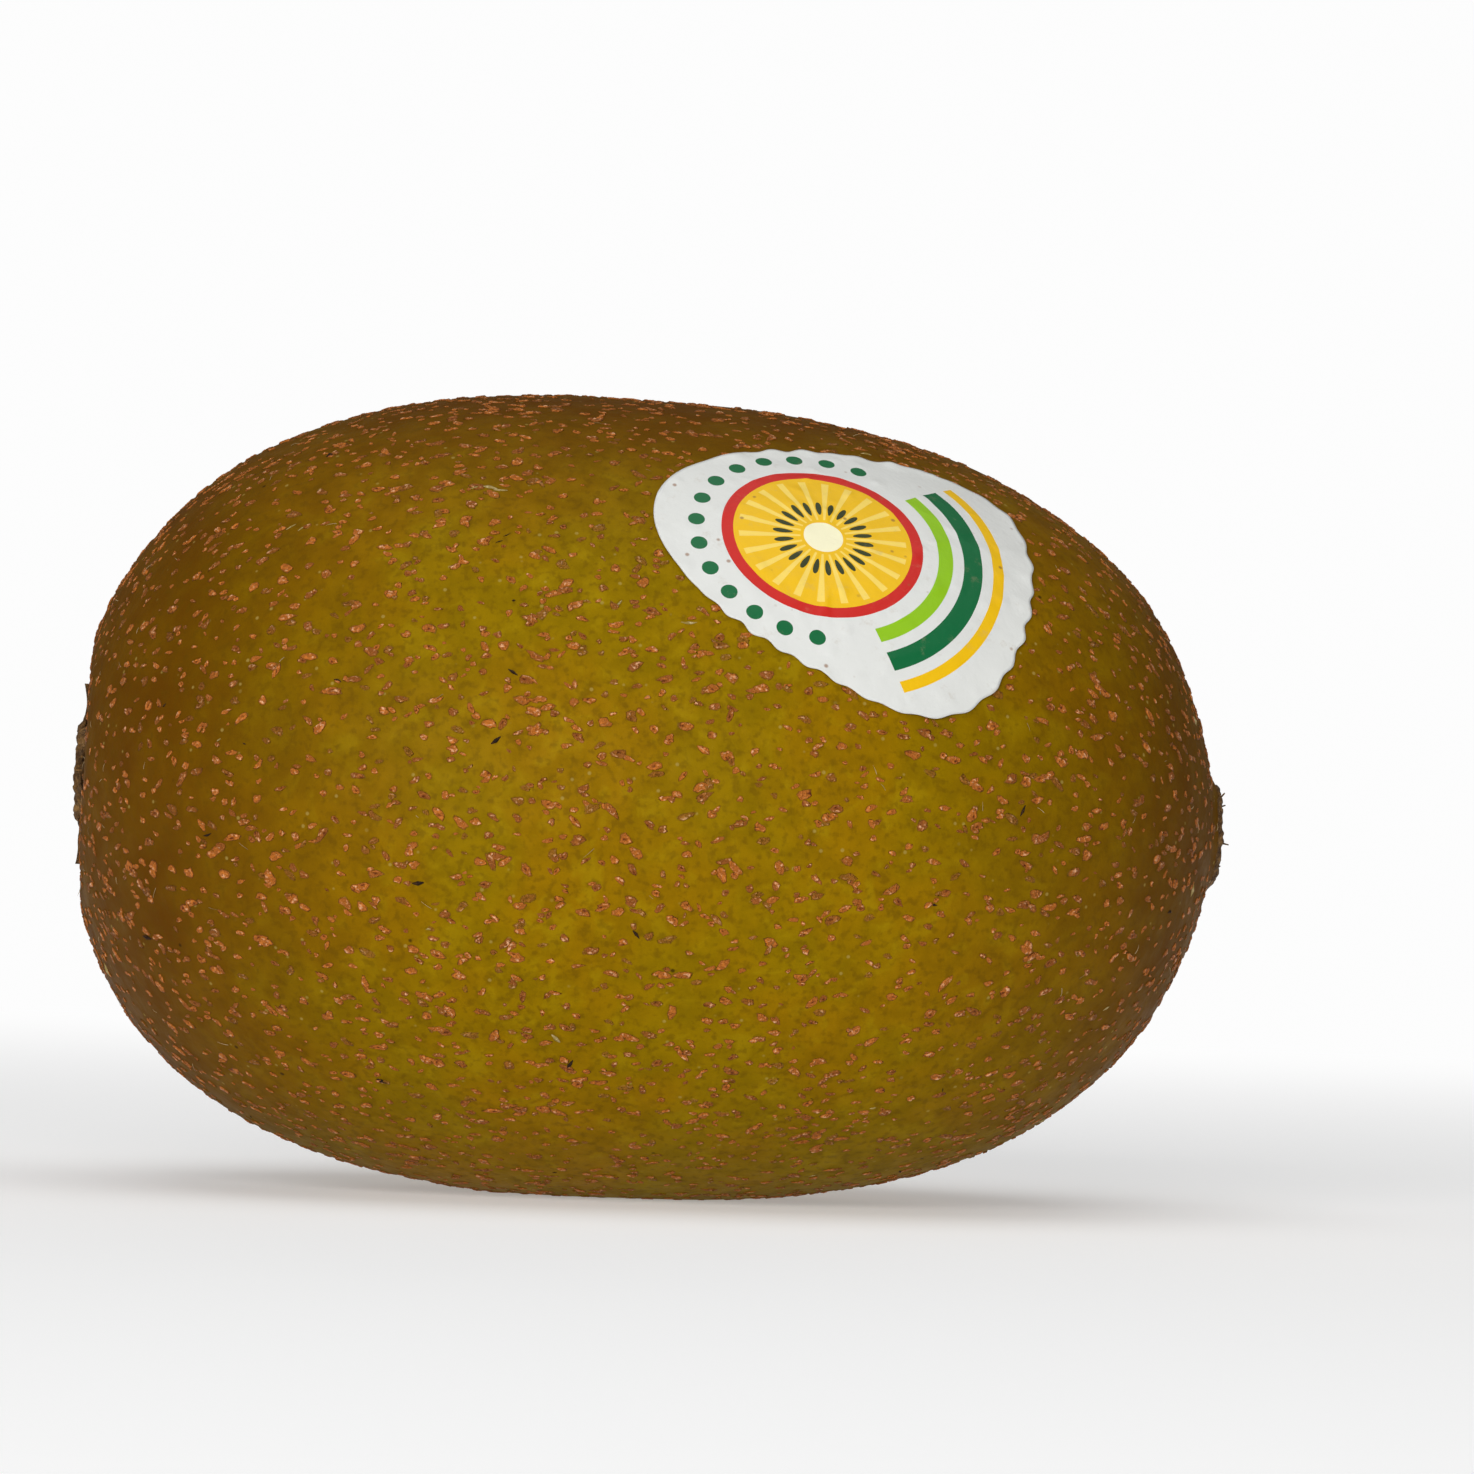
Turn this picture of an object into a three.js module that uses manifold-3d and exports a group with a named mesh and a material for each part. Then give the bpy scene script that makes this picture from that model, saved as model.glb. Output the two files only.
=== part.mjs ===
// A golden kiwifruit lying on its side, with the paper label that is stuck on it.
// Millimetres, +Z up. +X points to the blossom end, and -Y faces the viewer, who sees the label.
// The origin is the middle of the small flat spot that the fruit rests on.
import * as THREE from "three";
import { mergeVertices } from "three/addons/utils/BufferGeometryUtils.js";
import Module from "manifold-3d";

// Body: a blunt egg shape about a long axis, a little wider than it is high.
const LENGTH = 69.6; // between the poles, before the two ends are shaped
const HEIGHT = 49.4;
const WIDTH = 51.8;
const END_POWER = 2.43; // over 2 makes the ends blunter than an ellipse's
const SIDE_POWER = 2.4;
const TAPER = 0.0315; // share of the thickness lost from the middle to the blossom end
const LOBES = [
  { count: 3, share: 0.006, phase: 0.9 },
  { count: 2, share: 0.005, phase: -0.5 },
]; // low swellings that run from end to end
const FLAT_DEPTH = 0.25; // how far the resting spot is pressed in
const RINGS_EACH_HALF = 25;
const RING_CROWDING = 0.8; // from 0, even, to 1, where the rings crowd together at the poles
const AROUND = 38;

// Stem end: a shallow bowl round a corky collar, which is the scar of the stalk.
const BOWL = { depth: 2.1, radius: 9.5 };
const COLLAR = { height: 1.35, radius: 2.7, width: 0.8 };
const SCAR_PIT = { depth: 0.5, radius: 1.1 };
const SEPALS = 5;
const SEPAL = { root: 2.5, length: 3.6, width: 3.1, thickness: 1, droop: 0.5, unevenness: 0.2 };

// Blossom end: a low nose with a rim, and the stubs of the dried styles inside it.
const NOSE = { height: 0.7, radius: 5.6 };
const RIM = { height: 0.45, radius: 2.7, width: 0.8 };
const NOSE_PIT = { depth: 1.3, radius: 1.7 };
const STYLES = 18;
const STYLE = { length: 2.1, radius: 0.36, sides: 3, root: 0.7, lean: 0.75, ring: 1.6 };

// Russet specks: raised corky scabs, fewer here than in life and about twice as wide.
const SPECKS = 335;
const SPECK = { radius: 0.8, spread: 0.3, height: 0.3, root: 0.3, sides: 5 };
const SPECK_SPACING = 3.4;
const SPECK_CLEARANCE = { stem: 7.2, blossom: 4.6, rest: 8.5, label: 1.6 };

// Paper label: an oblong with one narrower, smooth end and a waved cut edge, which follows the skin.
const LABEL = { halfLength: 11.7, halfWidth: 9.7, widening: 0.3, endPower: 2.8, sidePower: 2 };
const LABEL_PLACE = { along: 10.95, latitude: 41.5, turn: -9.5 }; // millimetres from mid-fruit, degrees
const LABEL_WAVES = { count: 34, height: 0.14, samples: 4 };
const LABEL_GAP = 0.12; // the glue
const LABEL_THICKNESS = 0.25;
const LABEL_RINGS = 4;

const HALF_LENGTH = LENGTH / 2;
const HALF_HEIGHT = HEIGHT / 2;
const HALF_WIDTH = WIDTH / 2;
// The taper alone would tip the underside, so the long axis dips towards the blossom end by as much.
const DIP = Math.atan((TAPER * HALF_HEIGHT) / HALF_LENGTH);

const wasm = await Module();
wasm.setup();

function hump(distance, width) {
  return Math.exp(-((distance / width) ** 2));
}

// Repeatable random numbers from 0 to 1.
function seededDraw(seed) {
  let state = seed;
  return () => {
    state = (state + 0x6d2b79f5) | 0;
    let mixed = Math.imul(state ^ (state >>> 15), 1 | state);
    mixed = (mixed + Math.imul(mixed ^ (mixed >>> 7), 61 | mixed)) ^ mixed;
    return ((mixed ^ (mixed >>> 14)) >>> 0) / 2 ** 32;
  };
}

// Thickness at a place along the fruit, from -1 at the stem end to 1, as a share of the greatest.
function girth(place) {
  const share = Math.max(0, 1 - Math.abs(place) ** END_POWER);
  return share ** (1 / SIDE_POWER) * (1 - TAPER * place);
}

// How far the stem end stands out of the plain body, at a distance from the long axis.
function stemRelief(distance) {
  const bowl = 0.5 + 0.5 * Math.cos(Math.PI * Math.min(distance / BOWL.radius, 1));
  const collar = hump(distance - COLLAR.radius, COLLAR.width);
  const pit = hump(distance, SCAR_PIT.radius);
  return COLLAR.height * collar - BOWL.depth * bowl - SCAR_PIT.depth * pit;
}

// The same at the blossom end.
function blossomRelief(distance) {
  const nose = hump(distance, NOSE.radius);
  const rim = hump(distance - RIM.radius, RIM.width);
  const pit = hump(distance, NOSE_PIT.radius);
  return NOSE.height * nose + RIM.height * rim - NOSE_PIT.depth * pit;
}

// A point of the skin, with the long axis on X and its middle at the centre.
// The latitude turns from the viewer's side, through the top, to the back.
function skinPoint(place, latitude) {
  const thickness = girth(place);
  const distance = HALF_HEIGHT * thickness;
  const relief = place < 0 ? -stemRelief(distance) : blossomRelief(distance);
  const fade = 1 - place * place;
  const swellings = LOBES.map((lobe) => lobe.share * Math.cos(lobe.count * latitude + lobe.phase));
  const swollen = swellings.reduce((sum, swelling) => sum + swelling * fade, 1) * thickness;
  return new THREE.Vector3(
    HALF_LENGTH * place + relief,
    -HALF_WIDTH * swollen * Math.cos(latitude),
    HALF_HEIGHT * swollen * Math.sin(latitude),
  );
}

function skinNormal(place, latitude) {
  const step = 1e-3;
  const along = skinPoint(place + step, latitude).sub(skinPoint(place - step, latitude));
  const around = skinPoint(place, latitude + step).sub(skinPoint(place, latitude - step));
  return along.cross(around).normalize();
}

// Places of the rings, from the stem end to the blossom end.
function ringPlaces() {
  const half = [];
  for (let ring = 0; ring < RINGS_EACH_HALF; ring++) {
    const share = ring / RINGS_EACH_HALF;
    const turn = (Math.PI / 2) * share * (1 - RING_CROWDING + RING_CROWDING * share);
    half.push(Math.cos(turn) ** (2 / END_POWER));
  }
  return [...half.map((place) => -place), 0, ...half.reverse()];
}

// The bare skin: a lathed profile whose points then move to their true places.
function skinGeometry() {
  const places = ringPlaces();
  const profile = places.map((place) => new THREE.Vector2(HALF_HEIGHT * girth(place), HALF_LENGTH * place));
  const geometry = new THREE.LatheGeometry(profile, AROUND);
  const position = geometry.getAttribute("position");
  for (let column = 0; column <= AROUND; column++) {
    const latitude = (-2 * Math.PI * (column % AROUND)) / AROUND;
    places.forEach((place, ring) => {
      const point = skinPoint(place, latitude);
      position.setXYZ(column * places.length + ring, point.x, point.y, point.z);
    });
  }
  return geometry;
}

function solidOf(geometry) {
  const plain = geometry.clone();
  plain.deleteAttribute("normal");
  plain.deleteAttribute("uv");
  const merged = mergeVertices(plain, 1e-4);
  const vertProperties = new Float32Array(merged.getAttribute("position").array);
  const triVerts = new Uint32Array(merged.index.array);
  return new wasm.Manifold(new wasm.Mesh({ numProp: 3, vertProperties, triVerts }));
}

function geometryOf(solid) {
  const mesh = solid.getMesh();
  const geometry = new THREE.BufferGeometry();
  geometry.setAttribute("position", new THREE.BufferAttribute(mesh.vertProperties, mesh.numProp));
  geometry.setIndex(new THREE.BufferAttribute(mesh.triVerts, 1));
  geometry.computeVertexNormals();
  return geometry;
}

// Spins a shape about its own +Y, points that along a direction and moves it to a point.
function stand(geometry, point, direction, spin) {
  const up = new THREE.Vector3(0, 1, 0);
  geometry.rotateY(spin);
  geometry.applyQuaternion(new THREE.Quaternion().setFromUnitVectors(up, direction));
  return geometry.translate(point.x, point.y, point.z);
}

// The place that lies a given way along the skin from mid-fruit.
function placeAlong(distance) {
  const step = 1e-3;
  const direction = Math.sign(distance);
  let place = 0;
  let walked = 0;
  while (walked < Math.abs(distance)) {
    const rise = HALF_HEIGHT * (girth(place + direction * step) - girth(place));
    walked += Math.hypot(HALF_LENGTH * step, rise);
    place += direction * step;
  }
  return place - direction * step * ((walked - Math.abs(distance)) / (HALF_LENGTH * step));
}

// A point of the label, from its own length and width, at a height above the skin.
function labelPoint(length, width, height) {
  const turn = THREE.MathUtils.degToRad(LABEL_PLACE.turn);
  const along = LABEL_PLACE.along + length * Math.cos(turn) - width * Math.sin(turn);
  const around = length * Math.sin(turn) + width * Math.cos(turn);
  const place = placeAlong(along);
  const radius = (girth(place) * (HALF_HEIGHT + HALF_WIDTH)) / 2;
  const latitude = THREE.MathUtils.degToRad(LABEL_PLACE.latitude) + around / radius;
  return skinPoint(place, latitude).addScaledVector(skinNormal(place, latitude), height);
}

function insideLabel(length, width) {
  const share = length / LABEL.halfLength;
  const halfWidth = LABEL.halfWidth * (1 + LABEL.widening * share);
  return Math.abs(share) ** LABEL.endPower + Math.abs(width / halfWidth) ** LABEL.sidePower < 1;
}

// How far the label reaches from its middle at an angle, with the waves that its narrow end lacks.
function labelReach(angle) {
  let inside = 0;
  let outside = 2 * LABEL.halfLength;
  for (let halving = 0; halving < 24; halving++) {
    const middle = (inside + outside) / 2;
    if (insideLabel(middle * Math.cos(angle), middle * Math.sin(angle))) inside = middle;
    else outside = middle;
  }
  const waved = THREE.MathUtils.smoothstep(Math.cos(angle), -0.9, -0.5);
  return inside + waved * LABEL_WAVES.height * Math.cos(LABEL_WAVES.count * angle);
}

// One face of the label: its middle, then rings of points out to its edge.
function labelSheet(height) {
  const around = LABEL_WAVES.count * LABEL_WAVES.samples;
  const points = [labelPoint(0, 0, height)];
  for (let ring = 1; ring <= LABEL_RINGS; ring++) {
    for (let step = 0; step < around; step++) {
      const angle = (2 * Math.PI * step) / around;
      const reach = (labelReach(angle) * ring) / LABEL_RINGS;
      points.push(labelPoint(reach * Math.cos(angle), reach * Math.sin(angle), height));
    }
  }
  return points;
}

// Whether a speck may grow at a point: off the label, the two ends and the resting spot.
function speckMayGrow(point, place, covered) {
  const fromAxis = Math.hypot(point.y, point.z);
  const endClearance = place < 0 ? SPECK_CLEARANCE.stem : SPECK_CLEARANCE.blossom;
  if (Math.abs(place) > 0.8 && fromAxis < endClearance) return false;
  if (point.z < 0 && Math.hypot(point.x, point.y) < SPECK_CLEARANCE.rest) return false;
  return covered.every((other) => other.distanceTo(point) > SPECK_CLEARANCE.label);
}

function speckShape(place, latitude, draw) {
  const radius = SPECK.radius + SPECK.spread * (2 * draw() - 1);
  const length = SPECK.height + SPECK.root;
  const cone = new THREE.ConeGeometry((radius * length) / SPECK.height, length, SPECK.sides);
  cone.scale(1, 1, 0.75 + 0.5 * draw()).translate(0, length / 2 - SPECK.root, 0);
  return stand(cone, skinPoint(place, latitude), skinNormal(place, latitude), 2 * Math.PI * draw());
}

// Specks strewn evenly over the skin, none closer to another than the spacing.
function speckShapes() {
  const draw = seededDraw(41);
  const covered = labelSheet(0);
  const grown = [];
  const shapes = [];
  while (shapes.length < SPECKS) {
    const place = 2 * draw() - 1;
    const latitude = 2 * Math.PI * draw();
    const point = skinPoint(place, latitude);
    const crowded = grown.some((other) => other.distanceTo(point) < SPECK_SPACING);
    if (crowded || !speckMayGrow(point, place, covered)) continue;
    grown.push(point);
    shapes.push(speckShape(place, latitude, draw));
  }
  return shapes;
}

// Dried sepals: four-sided tongues that spread from the collar.
function sepalShapes() {
  const shapes = [];
  for (let sepal = 0; sepal < SEPALS; sepal++) {
    const angle = (2 * Math.PI * (sepal + SEPAL.unevenness * Math.sin(3 * sepal))) / SEPALS;
    const tongue = new THREE.ConeGeometry(SEPAL.width / 2, SEPAL.length, 4);
    tongue.scale(1, 1, SEPAL.thickness / SEPAL.width).translate(0, SEPAL.root + SEPAL.length / 2, 0);
    tongue.rotateX(SEPAL.droop / SEPAL.length).rotateY(Math.PI / 2);
    tongue.translate(-HALF_LENGTH - stemRelief(COLLAR.radius), 0, 0).rotateX(angle);
    shapes.push(tongue);
  }
  return shapes;
}

// Stubs of the dried styles: thin spikes that lean outwards from two rings.
function styleShapes() {
  const draw = seededDraw(7);
  const shapes = [];
  for (let style = 0; style < STYLES; style++) {
    const inner = style % 3 ? 1 : 0.45;
    const angle = (2 * Math.PI * (style + 0.5 * draw())) / STYLES;
    const lean = STYLE.lean * inner * (0.8 + 0.4 * draw());
    const length = STYLE.length * (0.75 + 0.4 * draw());
    const distance = STYLE.ring * inner;
    const outwards = new THREE.Vector3(0, Math.cos(angle), Math.sin(angle));
    const root = outwards.clone().multiplyScalar(distance).setX(HALF_LENGTH + blossomRelief(distance));
    const direction = outwards.multiplyScalar(Math.sin(lean)).setX(Math.cos(lean));
    const spike = new THREE.ConeGeometry(STYLE.radius, length, STYLE.sides);
    spike.translate(0, length / 2 - STYLE.root, 0);
    shapes.push(stand(spike, root, direction, 2 * Math.PI * draw()));
  }
  return shapes;
}

// Turns a shape from the fruit's own frame to how the fruit lies.
function layDown(geometry, rise) {
  return geometry.rotateY(DIP).translate(0, 0, rise);
}

// How far the middle of the lying fruit is above the surface, once the resting spot is pressed in.
function restingRise() {
  const lying = layDown(skinGeometry(), 0);
  lying.computeBoundingBox();
  return -lying.boundingBox.min.z - FLAT_DEPTH;
}

// The fruit with all that has grown on it, cut flat where it rests.
function fruitGeometry(rise) {
  const pieces = [skinGeometry(), ...speckShapes(), ...sepalShapes(), ...styleShapes()];
  const lying = pieces.map((piece) => solidOf(layDown(piece, rise)));
  const depth = HALF_HEIGHT;
  const below = solidOf(new THREE.BoxGeometry(LENGTH, WIDTH, depth).translate(0, 0, -depth / 2));
  return geometryOf(wasm.Manifold.union(lying).subtract(below));
}

// Triangles of a closed film between two sheets of rings, the lower one first.
function filmFaces(around, rings) {
  const faces = [];
  const sheetSize = 1 + around * rings;
  const at = (sheet, ring, step) => sheet * sheetSize + 1 + (ring - 1) * around + (step % around);
  for (let step = 0; step < around; step++) {
    const upper = [[sheetSize, at(1, 1, step), at(1, 1, step + 1)]];
    for (let ring = 1; ring < rings; ring++) {
      upper.push([at(1, ring, step), at(1, ring + 1, step), at(1, ring + 1, step + 1)]);
      upper.push([at(1, ring, step), at(1, ring + 1, step + 1), at(1, ring, step + 1)]);
    }
    upper.forEach((face) => faces.push(...face, ...face.map((point) => point - sheetSize).reverse()));
    faces.push(at(0, rings, step), at(0, rings, step + 1), at(1, rings, step + 1));
    faces.push(at(0, rings, step), at(1, rings, step + 1), at(1, rings, step));
  }
  return faces;
}

function labelGeometry(rise) {
  const sheets = [labelSheet(LABEL_GAP), labelSheet(LABEL_GAP + LABEL_THICKNESS)];
  const geometry = new THREE.BufferGeometry().setFromPoints(sheets.flat());
  geometry.setIndex(filmFaces(LABEL_WAVES.count * LABEL_WAVES.samples, LABEL_RINGS));
  geometry.computeVertexNormals();
  return layDown(geometry, rise);
}

function piece(name, geometry, color, roughness) {
  const mesh = new THREE.Mesh(geometry, new THREE.MeshStandardMaterial({ color, roughness, metalness: 0 }));
  mesh.name = name;
  return mesh;
}

const rise = restingRise();
const kiwifruit = new THREE.Group();
kiwifruit.add(piece("fruit", fruitGeometry(rise), 0x86660a, 0.5));
kiwifruit.add(piece("label", labelGeometry(rise), 0xe4e6e2, 0.45));

export default kiwifruit;
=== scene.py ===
"""Golden kiwifruit: the looks of a fruit that lies on its side with a paper label on its skin.

Lengths are in millimetres, turned to metres when a mesh is made; the panel's lengths and most of
the stage are in metres. The shape is the one that the solids have, drawn finer: a place runs from
-1 at the stem end to 1 at the blossom end, and a latitude turns from the side that faces the
viewer, over the top, to the back.
"""

import math

import bpy
import numpy as np
from mathutils import Matrix, Vector, kdtree, noise


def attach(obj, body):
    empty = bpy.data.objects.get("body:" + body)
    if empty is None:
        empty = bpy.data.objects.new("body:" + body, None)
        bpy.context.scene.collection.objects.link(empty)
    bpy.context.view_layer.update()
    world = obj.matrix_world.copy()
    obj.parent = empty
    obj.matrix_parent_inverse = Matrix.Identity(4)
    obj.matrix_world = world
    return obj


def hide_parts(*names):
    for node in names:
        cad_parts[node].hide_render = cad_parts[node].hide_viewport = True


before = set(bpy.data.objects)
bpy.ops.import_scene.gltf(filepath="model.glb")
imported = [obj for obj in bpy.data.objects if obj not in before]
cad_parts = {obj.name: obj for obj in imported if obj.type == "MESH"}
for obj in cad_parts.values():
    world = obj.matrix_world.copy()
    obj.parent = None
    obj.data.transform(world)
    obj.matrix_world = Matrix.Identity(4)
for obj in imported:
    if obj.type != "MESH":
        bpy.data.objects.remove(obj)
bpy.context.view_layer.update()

bl_info = {
    "name": "Golden Kiwifruit",
    "version": (1, 0, 0),
    "blender": (4, 5, 0),
    "location": "3D View > Sidebar > Kiwifruit",
    "description": "Builds a golden kiwifruit with its russet specks, scars and label",
    "category": "Add Mesh",
}

MM = 0.001
FULL_TURN = 2 * math.pi

# The two ends, as the solids have them.
BOWL_DEPTH, BOWL_RADIUS = 2.1, 9.5
COLLAR_HEIGHT, COLLAR_RADIUS, COLLAR_WIDTH = 1.35, 2.7, 0.8
SCAR_PIT_DEPTH, SCAR_PIT_RADIUS = 0.5, 1.1
NOSE_HEIGHT, NOSE_RADIUS = 0.7, 5.6
RIM_HEIGHT, RIM_RADIUS, RIM_WIDTH = 0.45, 2.7, 0.8
NOSE_PIT_DEPTH, NOSE_PIT_RADIUS = 1.3, 1.7

# Lobes round the fruit: their count, their share of its thickness and their turn.
LOBES = ((3, 0.006, 0.9), (2, 0.005, -0.5))

# Unevenness of the skin: size, height and shift of its noise.
WAVES = ((9.0, 0.13, (0, 0, 0)), (2.6, 0.035, (31, 7, 3)))

# The resting spot is rounded off under this height, with this radius.
PRESSED_HEIGHT, PRESSED_RADIUS = 0.3, 0.04

# A small step of place or latitude, to measure slopes with.
STEP = 1e-4


def linear(hex_colour):
    """Turn an sRGB hex colour into the linear RGBA that shaders take."""
    channels = [int(hex_colour[i : i + 2], 16) / 255 for i in (1, 3, 5)]
    low = [c / 12.92 for c in channels]
    high = [((c + 0.055) / 1.055) ** 2.4 for c in channels]
    return (*[l if c <= 0.04045 else h for c, l, h in zip(channels, low, high)], 1.0)


def colour_property(name, description, hex_colour):
    return bpy.props.FloatVectorProperty(
        name=name, description=description, subtype="COLOR", size=4, min=0, max=1,
        default=linear(hex_colour),
    )


def length_property(name, description, millimetres):
    return bpy.props.FloatProperty(
        name=name, description=description, default=millimetres * MM, unit="LENGTH"
    )


def angle_property(name, description, degrees):
    return bpy.props.FloatProperty(
        name=name, description=description, default=math.radians(degrees), subtype="ANGLE"
    )


class FruitShape(bpy.types.PropertyGroup):
    """Size and outline of the fruit."""

    length: length_property("Length", "Between the poles, before the ends are shaped", 69.6)
    height: length_property("Height", "Greatest thickness up and down", 49.4)
    width: length_property("Width", "Greatest thickness sideways", 51.8)
    end_power: bpy.props.FloatProperty(
        name="End power", description="Over 2 makes blunter ends than an ellipse's", default=2.43
    )
    side_power: bpy.props.FloatProperty(
        name="Side power", description="Over 2 makes fuller sides than an ellipse's", default=2.4
    )
    taper: bpy.props.FloatProperty(
        name="Taper", description="Share of the thickness lost to the blossom end", default=0.0315
    )
    flat_depth: length_property("Flat depth", "How far the resting spot is pressed in", 0.25)


class SkinLook(bpy.types.PropertyGroup):
    """Colours and specks of the skin."""

    olive: colour_property("Olive", "Ripe skin between the specks", "#906b00")
    green: colour_property("Green", "Greener clouds in the skin", "#8b6e00")
    # Bronze is partly painted shade: it darkens both ends and the upper side.
    bronze_and_shade: colour_property("Bronze", "Browned skin at the ends and on the upper side", "#5e3903")
    rust: colour_property("Rust", "Corky specks", "#bf6e26")
    # Tan is a painted highlight on the raised tops of the specks.
    tan: colour_property("Tan", "Worn, dry tops of the specks", "#e0aa80")
    bark: colour_property("Bark", "Dried stalk scar, sepals and styles", "#86602f")
    specks: bpy.props.IntProperty(
        name="Specks", description="Most spots where corky specks may grow", default=10400
    )
    hairs: bpy.props.IntProperty(
        name="Hairs", description="Most spots where a short hair may be left", default=1560
    )


class LabelLook(bpy.types.PropertyGroup):
    """Size, place and inks of the paper label."""

    half_length: length_property("Half length", "Half of the label's length", 11.7)
    half_width: length_property("Half width", "Half of its width, at mid-length", 9.7)
    along: length_property("Along", "Its middle, along the skin from mid-fruit", 10.95)
    latitude: angle_property("Latitude", "Its middle, up from the side that faces the viewer", 41.5)
    turn: angle_property("Turn", "Its turn on the skin", -9.5)
    paper: colour_property("Paper", "Coated white paper", "#d9dad6")
    yellow: colour_property("Yellow ink", "Flesh of the printed slice, and the outer bow", "#e9b800")
    red: colour_property("Red ink", "Ring round the slice", "#c51d14")
    dark_green: colour_property("Dark green ink", "Middle bow and the dots", "#006335")
    light_green: colour_property("Light green ink", "Inner bow", "#8bbd10")


def shape():
    return bpy.context.scene.kiwi_shape


def skin_look():
    return bpy.context.scene.kiwi_skin


def label_look():
    return bpy.context.scene.kiwi_label


# Shape of the fruit.


def half_sizes():
    """Half of the length, the width and the height, in millimetres."""
    form = shape()
    return form.length / 2 / MM, form.width / 2 / MM, form.height / 2 / MM


def girth(place):
    """Thickness at a place along the fruit, as a share of the greatest."""
    form = shape()
    share = np.clip(1 - np.abs(place) ** form.end_power, 0, None)
    return share ** (1 / form.side_power) * (1 - form.taper * place)


def hump(distance, width):
    return np.exp(-((distance / width) ** 2))


def turns(count):
    """Evenly spread angles of a full turn."""
    return np.linspace(0, FULL_TURN, count, endpoint=False)


def stem_relief(distance):
    """How far the stem end stands out of the plain body, at a distance from the long axis."""
    bowl = 0.5 + 0.5 * np.cos(np.pi * np.minimum(distance / BOWL_RADIUS, 1))
    collar = hump(distance - COLLAR_RADIUS, COLLAR_WIDTH)
    pit = hump(distance, SCAR_PIT_RADIUS)
    return COLLAR_HEIGHT * collar - BOWL_DEPTH * bowl - SCAR_PIT_DEPTH * pit


def blossom_relief(distance):
    """The same at the blossom end."""
    nose = hump(distance, NOSE_RADIUS)
    rim = hump(distance - RIM_RADIUS, RIM_WIDTH)
    pit = hump(distance, NOSE_PIT_RADIUS)
    return NOSE_HEIGHT * nose + RIM_HEIGHT * rim - NOSE_PIT_DEPTH * pit


def bare_point(place, latitude):
    """Points of the smooth skin in the fruit's own frame, its long axis on X."""
    half_length, half_width, half_height = half_sizes()
    thickness = girth(place)
    distance = half_height * thickness
    relief = np.where(place < 0, -stem_relief(distance), blossom_relief(distance))
    fade = 1 - place * place
    swell = 1 + fade * sum(share * np.cos(count * latitude + turn) for count, share, turn in LOBES)
    x = half_length * place + relief
    y = -half_width * thickness * swell * np.cos(latitude)
    z = half_height * thickness * swell * np.sin(latitude)
    return np.stack([x, y, z], -1)


def bare_frame(place, latitude):
    """Unit vectors along the fruit, around it and out of its skin."""
    along = bare_point(place + STEP, latitude) - bare_point(place - STEP, latitude)
    around = bare_point(place, latitude + STEP) - bare_point(place, latitude - STEP)
    outward = np.cross(along, around)
    outward /= np.linalg.norm(outward, axis=-1, keepdims=True)
    along /= np.linalg.norm(along, axis=-1, keepdims=True)
    return along, np.cross(outward, along), outward


def waviness(points):
    """Gentle unevenness of the skin, in millimetres out of it."""
    lift = 0
    for size, height, shift in WAVES:
        spots = (Vector(point) / size + Vector(shift) for point in points.reshape(-1, 3))
        lift = lift + height * np.array([noise.noise(spot) for spot in spots])
    return lift.reshape(points.shape[:-1])


def skin_point(place, latitude, height=0.0):
    """Points on the uneven skin, or at a height above it, in the fruit's own frame."""
    points = bare_point(place, latitude)
    lift = waviness(points) + height
    return points + bare_frame(place, latitude)[2] * lift[..., None]


def lay_down(points):
    """Turn points from the fruit's own frame to how it lies, with the resting spot pressed flat."""
    form = shape()
    dip = math.atan(form.taper * form.height / form.length)
    lowest = bare_point(np.linspace(-0.5, 0.5, 101), np.full(101, -np.pi / 2))
    drop = (lowest[:, 2] * math.cos(dip) - lowest[:, 0] * math.sin(dip)).min()
    rise = -drop - form.flat_depth / MM
    x, y, z = np.moveaxis(points, -1, 0)
    lain = z * math.cos(dip) - x * math.sin(dip) + rise
    rounded = 0.5 * (lain + np.sqrt(lain**2 + PRESSED_RADIUS**2))
    pressed = np.where(lain < PRESSED_HEIGHT, rounded, lain)
    return np.stack([x * math.cos(dip) + z * math.sin(dip), y, pressed], -1)


def walk(places):
    """Distances along the skin from mid-fruit to places in rising order."""
    half_length, _, half_height = half_sizes()
    run = np.diff(places) * half_length
    rise = np.diff(girth(places)) * half_height
    distances = np.concatenate([[0], np.cumsum(np.hypot(run, rise))])
    return distances - np.interp(0, places, distances)


def mean_radius(place):
    """Half of the thickness at a place, between that of the height and that of the width."""
    _, half_width, half_height = half_sizes()
    return girth(place) * (half_height + half_width) / 2


# Making pieces.


def finish_piece(mesh, material, nodes=("fruit",)):
    """Shade a mesh smooth, dress it and put it on the fruit's body."""
    mesh.polygons.foreach_set("use_smooth", [True] * len(mesh.polygons))
    mesh.materials.append(material)
    mesh.update()
    piece = bpy.data.objects.new(mesh.name, mesh)
    bpy.context.scene.collection.objects.link(piece)
    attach(piece, "root")
    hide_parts(*nodes)


def mesh_from(name, points, faces):
    """A mesh from points of the fruit's own frame, laid down as the fruit lies."""
    mesh = bpy.data.meshes.new(name)
    mesh.from_pydata((lay_down(np.asarray(points)) * MM).tolist(), [], faces)
    return mesh


def add_attribute(mesh, name, values, kind="FLOAT", field="value"):
    attribute = mesh.attributes.new(name, kind, "POINT")
    attribute.data.foreach_set(field, np.asarray(values, dtype=np.float32).ravel())


def ring_faces(rings, around, first=0):
    """Quads between rings of points that follow each other."""
    ring = np.arange(rings - 1)[:, None] * around + first
    step = np.arange(around)[None, :]
    following = (step + 1) % around
    corners = (ring + step, ring + following, ring + around + following, ring + around + step)
    return np.stack(corners, -1).reshape(-1, 4).tolist()


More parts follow.
